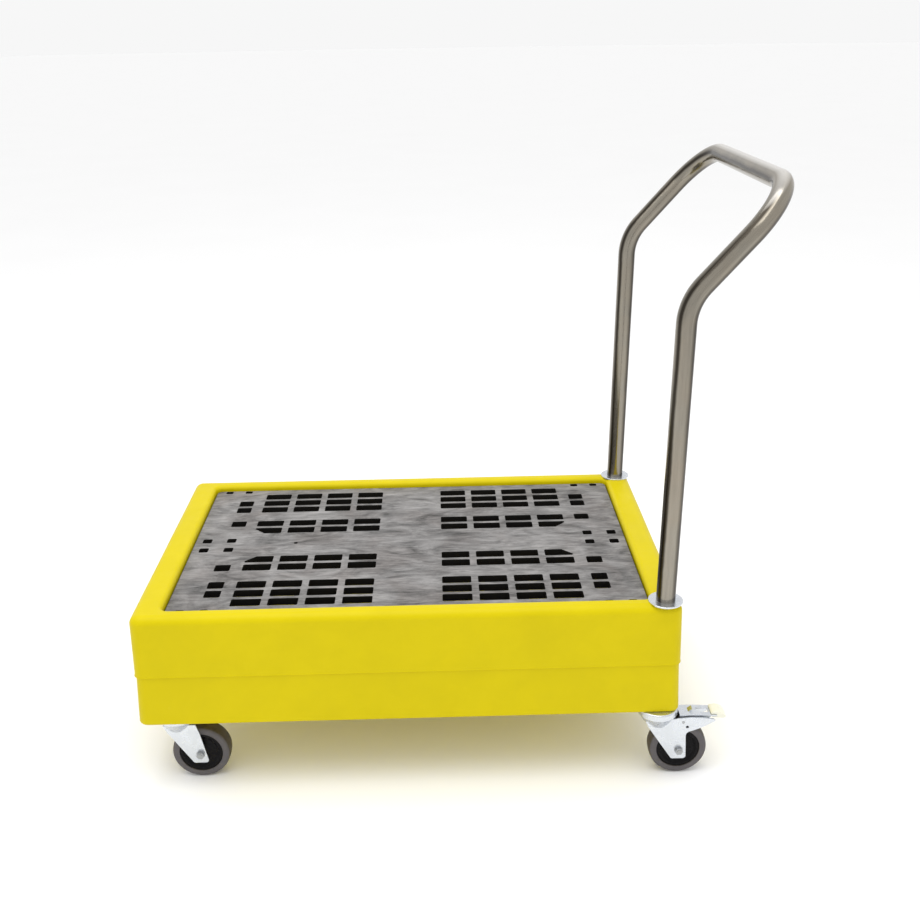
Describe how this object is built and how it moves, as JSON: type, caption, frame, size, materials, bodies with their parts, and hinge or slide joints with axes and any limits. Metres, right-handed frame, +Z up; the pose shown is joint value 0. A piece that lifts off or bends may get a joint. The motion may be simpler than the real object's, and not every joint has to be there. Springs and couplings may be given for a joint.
{
  "type": "drum dolly",
  "caption": "Bunded hand trolley: moulded spill tray with a lift-out slotted deck, a bent tube push handle and swivel castors, the handle-end pair with foot brakes.",
  "frame": {"origin": "on the floor under the middle of the whole object's footprint box", "axes": "+X along the tray towards the push handle, +Y across the tray, +Z up"},
  "size_m": [1.1614, 0.676, 1.114],
  "materials": {
    "yellow_tray": "semi-matt moulded polyethylene",
    "deck_grey": "mottled recycled plastic",
    "prop_black": "matt black plastic",
    "tube_steel": "brushed stainless tube",
    "zinc_sheet": "bright zinc plated pressed sheet",
    "bolt_steel": "zinc plated fasteners",
    "ball_steel": "polished bearing steel",
    "tyre_rubber": "soft grey rubber",
    "wheel_black": "black moulded plastic",
    "pedal_cream": "cream moulded plastic",
    "shoe_nylon": "black nylon"
  },
  "bodies": {
    "base": {"castor_insert_left": "bolt_steel", "castor_insert_right": "bolt_steel", "deck_pillars": "prop_black", "front_left_balls": "ball_steel", "front_left_head": "zinc_sheet", "front_left_king_bolt": "bolt_steel", "front_right_balls": "ball_steel", "front_right_head": "zinc_sheet", "front_right_king_bolt": "bolt_steel", "handle_flange_left": "zinc_sheet", "handle_flange_right": "zinc_sheet", "push_handle": "tube_steel", "rear_left_balls": "ball_steel", "rear_left_head": "zinc_sheet", "rear_left_king_bolt": "bolt_steel", "rear_right_balls": "ball_steel", "rear_right_head": "zinc_sheet", "rear_right_king_bolt": "bolt_steel", "tray": "yellow_tray", "tube_plug_left": "bolt_steel", "tube_plug_right": "bolt_steel"},
    "deck": {"deck_grid": "deck_grey"},
    "front_left_swivel": {"front_left_axle_bolt": "bolt_steel", "front_left_axle_nut": "bolt_steel", "front_left_bearing_sleeve": "bolt_steel", "front_left_fork": "zinc_sheet"},
    "front_left_wheel": {"front_left_tyre": "tyre_rubber", "front_left_wheel_centre": "wheel_black"},
    "front_right_swivel": {"front_right_axle_bolt": "bolt_steel", "front_right_axle_nut": "bolt_steel", "front_right_bearing_sleeve": "bolt_steel", "front_right_fork": "zinc_sheet"},
    "front_right_wheel": {"front_right_tyre": "tyre_rubber", "front_right_wheel_centre": "wheel_black"},
    "rear_left_swivel": {"rear_left_axle_bolt": "bolt_steel", "rear_left_axle_nut": "bolt_steel", "rear_left_bearing_sleeve": "bolt_steel", "rear_left_fork": "zinc_sheet", "rear_left_pedal_pin": "bolt_steel"},
    "rear_left_pedal": {"rear_left_brake_pedal": "zinc_sheet", "rear_left_brake_shoe": "shoe_nylon", "rear_left_pedal_tip": "pedal_cream"},
    "rear_left_wheel": {"rear_left_tyre": "tyre_rubber", "rear_left_wheel_centre": "wheel_black"},
    "rear_right_swivel": {"rear_right_axle_bolt": "bolt_steel", "rear_right_axle_nut": "bolt_steel", "rear_right_bearing_sleeve": "bolt_steel", "rear_right_fork": "zinc_sheet", "rear_right_pedal_pin": "bolt_steel"},
    "rear_right_pedal": {"rear_right_brake_pedal": "zinc_sheet", "rear_right_brake_shoe": "shoe_nylon", "rear_right_pedal_tip": "pedal_cream"},
    "rear_right_wheel": {"rear_right_tyre": "tyre_rubber", "rear_right_wheel_centre": "wheel_black"}
  },
  "joints": [
    {"name": "deck_lift", "type": "slide", "parent": "base", "child": "deck", "axis": [0, 0, 1], "range_m": [0, 0.15]},
    {"name": "front_left_swivel_turn", "type": "hinge", "parent": "base", "child": "front_left_swivel", "pos_m": [-0.51942, -0.2735, 0.1225], "axis": [0, 0, 1], "continuous": true},
    {"name": "front_left_wheel_spin", "type": "hinge", "parent": "front_left_swivel", "child": "front_left_wheel", "pos_m": [-0.47942, -0.2735, 0.055], "axis": [0, 1, 0], "continuous": true},
    {"name": "front_right_swivel_turn", "type": "hinge", "parent": "base", "child": "front_right_swivel", "pos_m": [-0.51942, 0.2735, 0.1225], "axis": [0, 0, 1], "continuous": true},
    {"name": "front_right_wheel_spin", "type": "hinge", "parent": "front_right_swivel", "child": "front_right_wheel", "pos_m": [-0.47942, 0.2735, 0.055], "axis": [0, 1, 0], "continuous": true},
    {"name": "rear_left_swivel_turn", "type": "hinge", "parent": "base", "child": "rear_left_swivel", "pos_m": [0.38948, -0.3, 0.1225], "axis": [0, 0, 1], "continuous": true},
    {"name": "rear_left_wheel_spin", "type": "hinge", "parent": "rear_left_swivel", "child": "rear_left_wheel", "pos_m": [0.42948, -0.3, 0.055], "axis": [0, 1, 0], "continuous": true},
    {"name": "rear_left_pedal_press", "type": "hinge", "parent": "rear_left_swivel", "child": "rear_left_pedal", "pos_m": [0.43548, -0.3, 0.1165], "axis": [0, 1, 0], "range_deg": [0, 8]},
    {"name": "rear_right_swivel_turn", "type": "hinge", "parent": "base", "child": "rear_right_swivel", "pos_m": [0.38948, 0.3, 0.1225], "axis": [0, 0, 1], "continuous": true},
    {"name": "rear_right_wheel_spin", "type": "hinge", "parent": "rear_right_swivel", "child": "rear_right_wheel", "pos_m": [0.42948, 0.3, 0.055], "axis": [0, 1, 0], "continuous": true},
    {"name": "rear_right_pedal_press", "type": "hinge", "parent": "rear_right_swivel", "child": "rear_right_pedal", "pos_m": [0.43548, 0.3, 0.1165], "axis": [0, 1, 0], "range_deg": [0, 8]}
  ]
}
